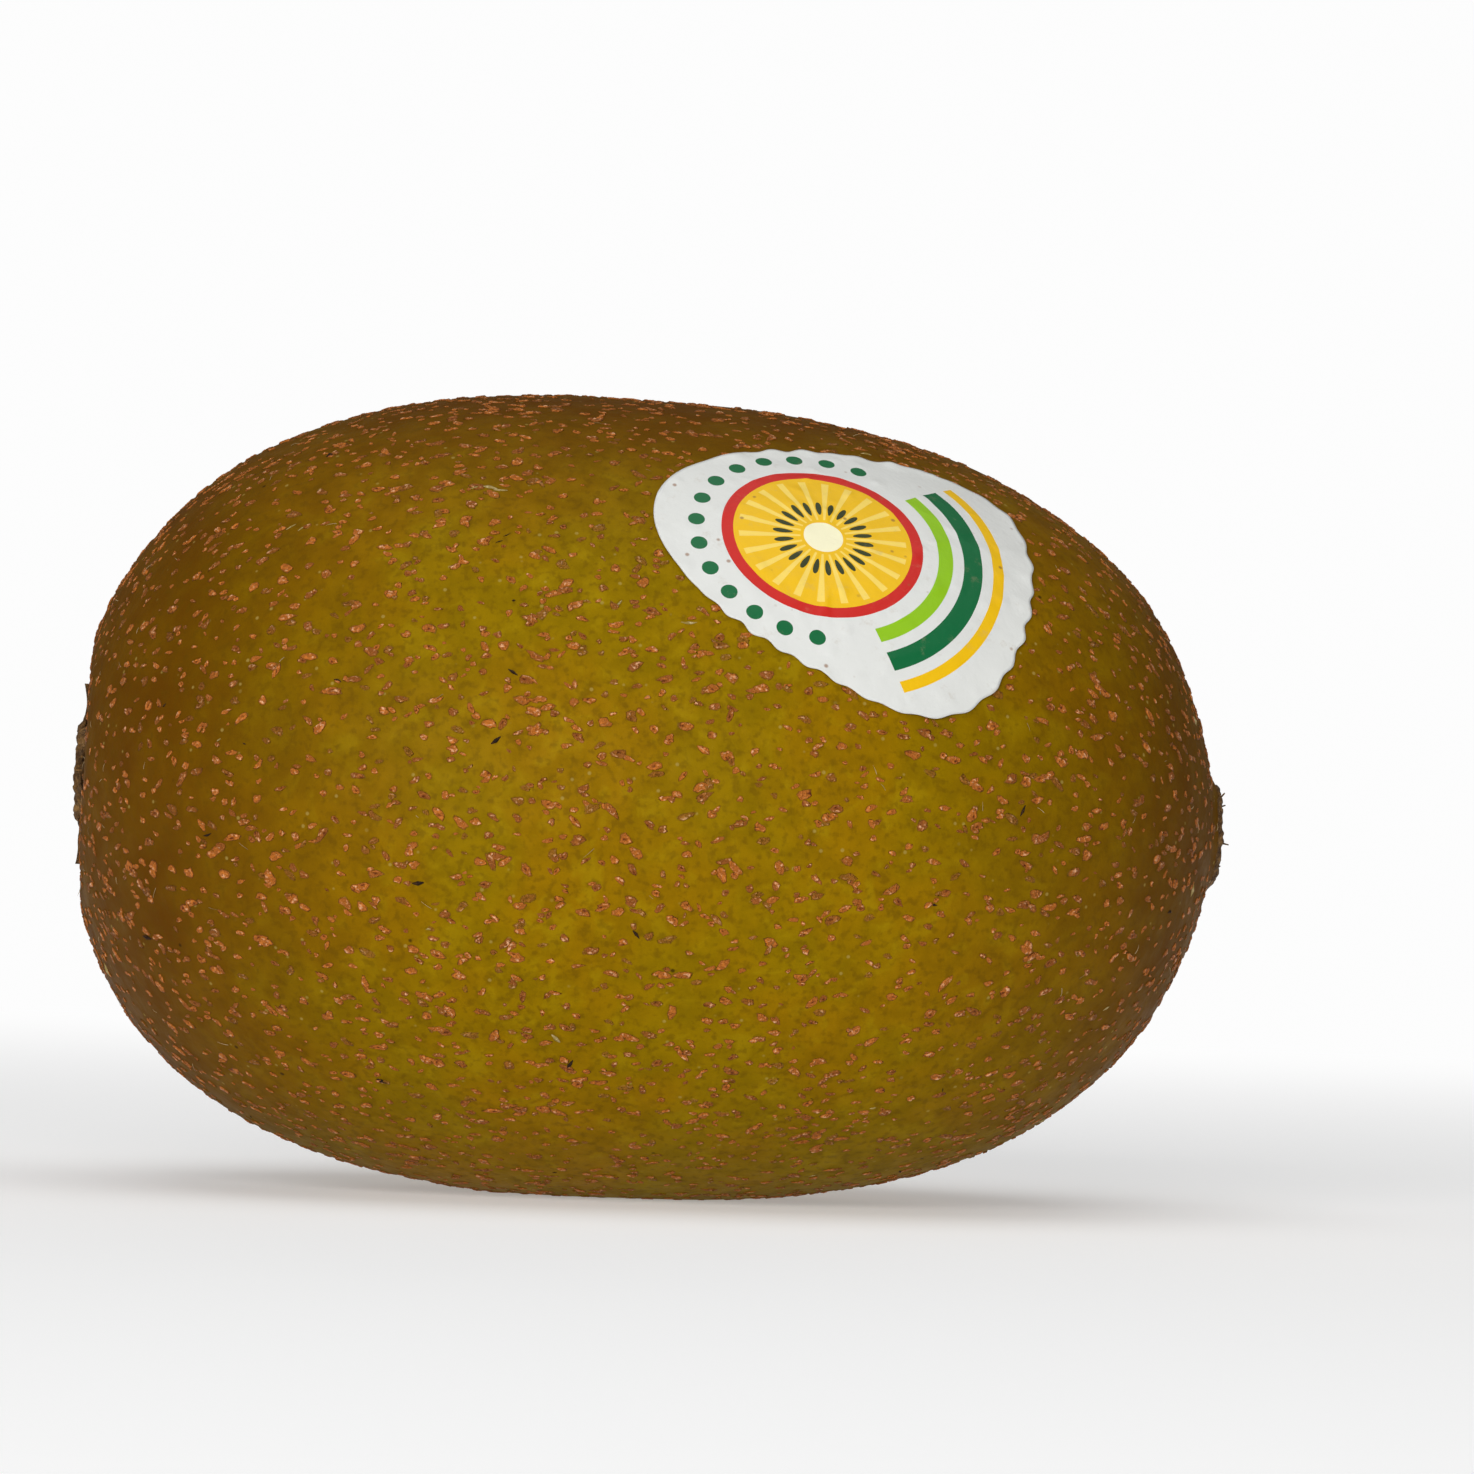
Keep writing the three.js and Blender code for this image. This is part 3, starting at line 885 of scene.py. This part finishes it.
class KIWI_OT_blemishes(bpy.types.Operator):
    """Add healed scratches and dark pits, the seen ones where they are and others strewn about"""

    bl_idname = "kiwi.blemishes"
    bl_label = "Blemishes"

    # Place, latitude, turn from the long axis, length and thickness.
    SCRATCHES = (
        (-0.335, 0.826, 0.35, 0.9, 0.17), (-0.312, 0.838, -0.3, 1.0, 0.24),
        (-0.292, 0.822, -0.1, 0.85, 0.15), (0.033, 0.434, 0.06, 0.95, 0.2),
        (0.342, 1.17, 0.2, 0.7, 0.15), (-0.075, 0.471, 0.9, 0.4, 0.13),
        (-0.64, 0.776, 0.4, 0.7, 0.12), (-0.62, 0.76, 0.5, 0.5, 0.1),
    )
    PITS = (
        (-0.581, 1.09, 0.3, 0.5, 0.34), (-0.252, 0.473, 0.1, 0.2, 0.16),
        (-0.285, 0.643, 0.45, 0.5, 0.07), (-0.272, 0.662, 0.6, 0.5, 0.06),
    )

    def execute(self, context):
        scratches = strewn_ridges("healed_scratches", self.SCRATCHES, others=46, seed=31)
        finish_piece(scratches, new_material("healed_scratch", healed_scratch))
        pits = strewn_ridges("dark_pits", self.PITS, others=70, seed=37)
        finish_piece(pits, new_material("dried_sap", dried_sap))
        return {"FINISHED"}


class KIWI_OT_hairs(bpy.types.Operator):
    """Leave a few short hairs, most of them near the two ends"""

    bl_idname = "kiwi.hairs"
    bl_label = "Hairs"

    def execute(self, context):
        place, latitude, draw = strewn_places(skin_look().hairs, spacing=0.9, seed=23)
        kept = draw.random(len(place)) < 0.06 + 0.55 * np.abs(place) ** 5
        kept &= ~inside_label(*label_coordinates(place, latitude), 1.0)
        kept &= bare_point(place, latitude)[:, 2] > -20
        place, latitude = place[kept], latitude[kept]
        roots = skin_point(place, latitude, -0.04)
        threads = []
        for root, along, across, outward in zip(roots, *bare_frame(place, latitude)):
            spin = draw.uniform(0, FULL_TURN)
            lying = along * math.cos(spin) + across * math.sin(spin)
            direction = lying * 0.85 + outward * 0.5
            bend = -outward * draw.uniform(0.2, 0.5) + lying * draw.uniform(-0.2, 0.2)
            length = draw.uniform(0.35, 0.95)
            threads.append(thread(root, direction, bend, length, 0.045, *HAIR_MESH))
        finish_piece(thread_mesh("hairs", threads), new_material("dry_hair", dry_hair))
        return {"FINISHED"}


# Label.

# The share by which it widens towards its end, and a power over 2 that makes its ends blunt.
LABEL_WIDENING, LABEL_END_POWER = 0.3, 2.8
LABEL_RINGS, LABEL_AROUND = 56, 408
# How high its upper face lies over the skin, and how many lumps and creases it has.
PAPER_THICKNESS, PAPER_HEIGHT, LUMPS, CREASES = 0.09, 0.1, 150, 11

# The print: rings round the middle of the slice, which stands off the label's middle.
SLICE_SHIFT = (1.5, 0, 0)
FLESH_START, RIND_START, SLICE_RADIUS = 1.15, 5.35, 6.1
RAYS, RAY_WIDTH, RAY_MIDDLE, RAY_HALF_LENGTH = 22, 0.55, 3.25, 1.85
# Dots on a ring: how many, their distance, half of their height and half of their width.
SEED_DOTS, MARGIN_DOTS = (22, 2.45, 0.6, 0.17), (24, 7.6, 0.5, 0.5)
BOWS_START, BOWS_END_ANGLE, MARGIN_START_ANGLE = 6.5, math.radians(54), math.radians(75)
# A radius that lies outside the label all round.
PRINT_END = 18


def inside_label(length, width, margin=0.0):
    """Whether points lie within the label's outline, grown by a margin."""
    look = label_look()
    share = length / (look.half_length / MM + margin)
    half_width = (look.half_width / MM + margin) * (1 + LABEL_WIDENING * share)
    return np.abs(share) ** LABEL_END_POWER + (width / np.maximum(half_width, 1e-3)) ** 2 < 1


def label_coordinates(place, latitude):
    """Length and width on the label of points of the skin."""
    look = label_look()
    places = np.linspace(-0.9, 0.95, 800)
    along = np.interp(place, places, walk(places)) - look.along / MM
    turned = (latitude - look.latitude + np.pi) % FULL_TURN - np.pi
    around = turned * mean_radius(place)
    cosine, sine = math.cos(look.turn), math.sin(look.turn)
    return along * cosine + around * sine, around * cosine - along * sine


def label_surface(length, width):
    """Place and latitude on the skin of points of the label."""
    look = label_look()
    cosine, sine = math.cos(look.turn), math.sin(look.turn)
    along = look.along / MM + length * cosine - width * sine
    places = np.linspace(0, 0.985, 800)
    place = np.sign(along) * np.interp(np.abs(along), walk(places), places)
    return place, look.latitude + (length * sine + width * cosine) / mean_radius(place)


def label_reach(angle):
    """How far the label reaches from its middle, with the waves that its narrow end lacks."""
    inside = np.zeros_like(angle)
    outside = np.full_like(angle, 2 * label_look().half_length / MM)
    for _ in range(24):
        middle = (inside + outside) / 2
        within = inside_label(middle * np.cos(angle), middle * np.sin(angle))
        inside = np.where(within, middle, inside)
        outside = np.where(within, outside, middle)
    waved = np.clip((np.cos(angle) + 0.9) / 0.4, 0, 1) * (0.1 + 0.03 * np.cos(3 * angle))
    return inside + waved * np.cos(34 * angle + 0.5 * np.sin(5 * angle))


def paper_height(length, width, share, angle):
    """Height of the paper over the skin: lumps over specks, creases and an edge that lifts."""
    draw = np.random.default_rng(3)
    height = np.full(length.shape, PAPER_HEIGHT)
    for _ in range(LUMPS):
        x, y = draw.uniform(-12, 12, 2)
        size = draw.uniform(0.28, 0.55)
        far = (length - x) ** 2 + (width - y) ** 2
        height += draw.uniform(0.02, 0.08) * np.exp(-far / size**2)
    for _ in range(CREASES):
        x, y, turn = draw.uniform(-8, 8), draw.uniform(-7, 7), draw.uniform(0, np.pi)
        off = (length - x) * math.sin(turn) - (width - y) * math.cos(turn)
        on = (length - x) * math.cos(turn) + (width - y) * math.sin(turn)
        height += 0.045 * np.exp(-((off / 0.25) ** 2) - (on / draw.uniform(2, 4)) ** 2)
    lifted = np.clip((share - 0.88) / 0.12, 0, 1) ** 2
    flutes = 0.5 + 0.5 * np.sin(17 * angle + 3 * np.sin(3 * angle))
    return height + lifted * (0.02 + 0.1 * flutes)


def ringed(tree, radius, *rings):
    """Flat rings of ink, each from its radius outwards."""
    share = node(tree, "Math", (radius, PRINT_END), operation="DIVIDE")
    colour = node(tree, "ValToRGB", (share,))
    ramp = colour.node.color_ramp
    ramp.interpolation = "CONSTANT"
    for index, (start, ink) in enumerate(rings):
        stop = ramp.elements.new(start / PRINT_END) if index else ramp.elements[0]
        stop.position = start / PRINT_END
        stop.color = ink
    ramp.elements.remove(ramp.elements[-1])
    return colour


def repeated_dots(tree, radius, angle, count, distance, half_height, half_width):
    """A mask of oval dots, evenly spaced on a circle."""
    turn = node(tree, "Math", (angle, count / FULL_TURN), operation="MULTIPLY")
    share = node(tree, "Math", (turn,), operation="FRACT")
    cell = node(tree, "Math", (share, 0.5), operation="SUBTRACT")
    spacing = FULL_TURN * distance / count
    across = node(tree, "Math", (cell, spacing / half_width), operation="MULTIPLY")
    off = node(tree, "Math", (radius, distance), operation="SUBTRACT")
    outwards = node(tree, "Math", (off, half_height), operation="DIVIDE")
    square = node(tree, "Math", (across, across), operation="MULTIPLY")
    squares = node(tree, "Math", (outwards, outwards, square), operation="MULTIPLY_ADD")
    return node(tree, "Math", (squares, 1), operation="LESS_THAN")


def printed_paper(tree):
    """Coated paper, offset printed and cut to shape: smooth and half glossy, bright flat inks.

    The print is a slice of fruit with rays and seeds, three bows and a row of dots. Its ink is
    rubbed in patches, and small specks of dirt lie on it.
    """
    look = label_look()
    place = node(tree, "Attribute", output="Vector", attribute_name="label_place")
    from_slice = node(tree, "VectorMath", (place, SLICE_SHIFT), operation="ADD")
    radius = node(tree, "VectorMath", (from_slice,), output="Value", operation="LENGTH")
    split = node(tree, "SeparateXYZ", (from_slice,)).node.outputs
    angle = node(tree, "Math", (split["Y"], split["X"]), operation="ARCTAN2")
    turned = node(tree, "Math", (angle,), operation="ABSOLUTE")
    fruit_slice = ringed(
        tree, radius, (0, linear("#f2edc8")), (FLESH_START, look.yellow), (RIND_START, look.red),
        (SLICE_RADIUS, look.paper),
    )
    bows = ringed(
        tree, radius, (0, look.paper), (7.1, look.light_green), (8.0, look.paper),
        (8.7, look.dark_green), (9.9, look.paper), (10.6, look.yellow), (11.3, look.paper),
    )
    ray_turn = node(tree, "Math", (angle, RAYS), operation="MULTIPLY")
    wave = node(tree, "Math", (ray_turn,), operation="COSINE")
    on_ray = node(tree, "Math", (wave, RAY_WIDTH), operation="GREATER_THAN")
    in_flesh = node(tree, "Math", (radius, RAY_MIDDLE, RAY_HALF_LENGTH), operation="COMPARE")
    rays = node(tree, "Math", (on_ray, in_flesh), operation="MULTIPLY")
    in_bows = node(tree, "Math", (turned, BOWS_END_ANGLE), operation="LESS_THAN")
    past_slice = node(tree, "Math", (radius, BOWS_START), operation="GREATER_THAN")
    in_margin = node(tree, "Math", (turned, MARGIN_START_ANGLE), operation="GREATER_THAN")
    colour = layered(
        tree, fruit_slice,
        (rays, 0.6, linear("#f6e07a")),
        (repeated_dots(tree, radius, angle, *SEED_DOTS), 1, linear("#2c3510")),
        (past_slice, in_bows, bows),
        (repeated_dots(tree, radius, angle, *MARGIN_DOTS), in_margin, look.dark_green),
        (patches(tree, 1.6, 0.56, 0.74, detail=6.0, roughness=0.75), 0.3, linear("#a8957a")),
        (scattered_dots(tree, 1.3, 0.14, 0.05, 0.52, 0.6), 0.7, linear("#8a5a2c")),
    )
    finish_surface(tree, colour, 0.45, 0.28, patches(tree, 0.5, 0, 1, ease="LINEAR"), 0.03)


class KIWI_OT_label(bpy.types.Operator):
    """Stick the printed paper label on the skin"""

    bl_idname = "kiwi.label"
    bl_label = "Label"

    def execute(self, context):
        shares = np.linspace(0, 1, LABEL_RINGS + 1)[1:] ** 0.9
        angles = turns(LABEL_AROUND)
        share, angle = np.meshgrid(shares, angles, indexing="ij")
        reach = label_reach(angles)[None, :] * share
        length, width = reach * np.cos(angle), reach * np.sin(angle)
        place, latitude = label_surface(length, width)
        height = paper_height(length, width, share, angle)
        upper = skin_point(place, latitude, height)
        lower = skin_point(place, latitude, height - PAPER_THICKNESS)
        middle_heights = np.array([PAPER_HEIGHT, PAPER_HEIGHT - PAPER_THICKNESS])
        middle = skin_point(*label_surface(np.zeros(2), np.zeros(2)), middle_heights)
        mesh = closed_sheet("label_paper", middle, upper, lower)
        flat = np.stack([length, width, np.zeros_like(length)], -1)
        both = np.concatenate([np.zeros((2, 3)), flat.reshape(-1, 3), flat[::-1].reshape(-1, 3)])
        add_attribute(mesh, "label_place", both, "FLOAT_VECTOR", "vector")
        finish_piece(mesh, new_material("printed_coated_paper", printed_paper), ["label"])
        return {"FINISHED"}


# Stage: the camera's place and aim in millimetres, the rest in metres.

CAMERA_PLACE = (-14.0, -450.0, 20.5)
CAMERA_AIM = (5.92, 0.0, 28.46)
CAMERA_ROLL = math.radians(1.9)
CAMERA_LENS, CAMERA_SENSOR = 178.5, 36

FLOOR_RADIUS, BACKDROP_RADIUS = 0.7, 3.0
STAGE_AROUND, BACKDROP_RINGS = 96, 24
BACKDROP_GLOW, WORLD_GLOW = 0.98, 0.17
LIGHT_AIM = (0, 0, 0.025)

# Soft lights: azimuth and elevation in degrees, distance, size, power in watts, shown in gloss.
SOFTBOXES = {
    "front_softbox": (-14, 14, 1.1, 0.7, 9.2, True),
    "top_softbox": (10, 84, 1.2, 1.2, 5.8, True),
    "back_softbox": (172, 12, 1.2, 0.9, 3.6, False),
}


def sweep_paper(tree):
    """Matt white paper sweep, which brightens into the backdrop away from the fruit."""
    place = node(tree, "TexCoord", output="Object")
    distance = node(tree, "VectorMath", (place,), output="Value", operation="LENGTH")
    glow, base = (
        node(tree, "MapRange", (distance, 0.06, 0.45, near, far), interpolation_type="SMOOTHSTEP")
        for near, far in ((0.3, BACKDROP_GLOW), (0.75, 0.0))
    )
    finish_surface(tree, base, 0.9, 0.0, **{"Emission Color": glow, "Emission Strength": 1.0})


def glowing_backdrop(tree):
    """White backdrop, lit evenly from behind."""
    glow = node(tree, "Emission", {"Color": (1, 1, 1, 1), "Strength": BACKDROP_GLOW})
    node(tree, "OutputMaterial", {"Surface": glow})


def stage_object(name, data):
    """An object of the stage, linked to the scene."""
    made = bpy.data.objects.new(name, data)
    bpy.context.scene.collection.objects.link(made)
    return made


def stage_ring(radius, height):
    """Points of a level circle."""
    return [(radius * math.cos(turn), radius * math.sin(turn), height) for turn in turns(STAGE_AROUND)]


def add_floor_and_backdrop():
    disc = bpy.data.meshes.new("floor")
    disc.from_pydata(stage_ring(FLOOR_RADIUS, 0), [], [list(range(STAGE_AROUND))])
    disc.materials.append(new_material("matt_paper_sweep", sweep_paper))
    stage_object("floor", disc)
    dome = bpy.data.meshes.new("backdrop")
    points = []
    for tilt in np.linspace(-np.pi / 2, np.pi / 2, BACKDROP_RINGS + 1):
        points += stage_ring(BACKDROP_RADIUS * math.cos(tilt), BACKDROP_RADIUS * math.sin(tilt))
    dome.from_pydata(points, [], ring_faces(BACKDROP_RINGS + 1, STAGE_AROUND))
    dome.materials.append(new_material("lit_white_backdrop", glowing_backdrop))
    backdrop = stage_object("backdrop", dome)
    for sight in ("visible_diffuse", "visible_glossy", "visible_transmission", "visible_shadow"):
        setattr(backdrop, sight, False)


def add_softbox(name, azimuth, elevation, distance, size, power, mirrored):
    """A square soft light that faces the fruit."""
    light = bpy.data.lights.new(name, "AREA")
    light.size = size
    light.energy = power
    lamp = stage_object(name, light)
    across, up = math.radians(azimuth), math.radians(elevation)
    sideways = Vector((math.sin(across), -math.cos(across), 0))
    away = sideways * math.cos(up) + Vector((0, 0, math.sin(up)))
    lamp.location = Vector(LIGHT_AIM) + away * distance
    lamp.rotation_euler = (-away).to_track_quat("-Z", "Y").to_euler()
    lamp.visible_camera = False
    lamp.visible_glossy = mirrored


def add_camera():
    lens = bpy.data.cameras.new("camera")
    lens.sensor_width = CAMERA_SENSOR
    lens.lens = CAMERA_LENS
    camera = stage_object("camera", lens)
    camera.location = Vector(CAMERA_PLACE) * MM
    forward = Vector(CAMERA_AIM) * MM - camera.location
    level = forward.to_track_quat("-Z", "Y").to_matrix()
    camera.rotation_euler = (level @ Matrix.Rotation(CAMERA_ROLL, 3, "Z")).to_euler()
    return camera


class KIWI_OT_stage(bpy.types.Operator):
    """Set up the floor, the backdrop, the lights and the camera"""

    bl_idname = "kiwi.stage"
    bl_label = "Stage"

    def execute(self, context):
        add_floor_and_backdrop()
        for name, values in SOFTBOXES.items():
            add_softbox(name, *values)
        world = bpy.data.worlds.new("studio")
        world.use_nodes = True
        background = world.node_tree.nodes["Background"].inputs
        background["Color"].default_value = (1, 1, 1, 1)
        background["Strength"].default_value = WORLD_GLOW
        context.scene.world = world
        context.scene.view_settings.view_transform = "Standard"
        context.scene.camera = add_camera()
        return {"FINISHED"}


OPERATORS = (
    KIWI_OT_skin, KIWI_OT_specks, KIWI_OT_stem_end, KIWI_OT_blossom_end, KIWI_OT_blemishes,
    KIWI_OT_hairs, KIWI_OT_label, KIWI_OT_stage,
)


class KIWI_PT_panel(bpy.types.Panel):
    """Sizes and colours of the fruit, and the pieces that are made from them"""

    bl_idname = "KIWI_PT_panel"
    bl_label = "Golden kiwifruit"
    bl_space_type = "VIEW_3D"
    bl_region_type = "UI"
    bl_category = "Kiwifruit"

    def draw(self, context):
        scene = context.scene
        for group in (scene.kiwi_shape, scene.kiwi_skin, scene.kiwi_label):
            box = self.layout.box()
            for name in type(group).__annotations__:
                box.prop(group, name)
        for operator in OPERATORS:
            self.layout.operator(operator.bl_idname)


CLASSES = (FruitShape, SkinLook, LabelLook, *OPERATORS, KIWI_PT_panel)


def register():
    for cls in CLASSES:
        bpy.utils.register_class(cls)
    bpy.types.Scene.kiwi_shape = bpy.props.PointerProperty(type=FruitShape)
    bpy.types.Scene.kiwi_skin = bpy.props.PointerProperty(type=SkinLook)
    bpy.types.Scene.kiwi_label = bpy.props.PointerProperty(type=LabelLook)


def unregister():
    del bpy.types.Scene.kiwi_label
    del bpy.types.Scene.kiwi_skin
    del bpy.types.Scene.kiwi_shape
    for cls in reversed(CLASSES):
        bpy.utils.unregister_class(cls)


def main():
    register()
    bpy.ops.kiwi.skin()
    bpy.ops.kiwi.specks()
    bpy.ops.kiwi.stem_end()
    bpy.ops.kiwi.blossom_end()
    bpy.ops.kiwi.blemishes()
    bpy.ops.kiwi.hairs()
    bpy.ops.kiwi.label()
    bpy.ops.kiwi.stage()
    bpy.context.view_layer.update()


if __name__ == "__main__":
    main()
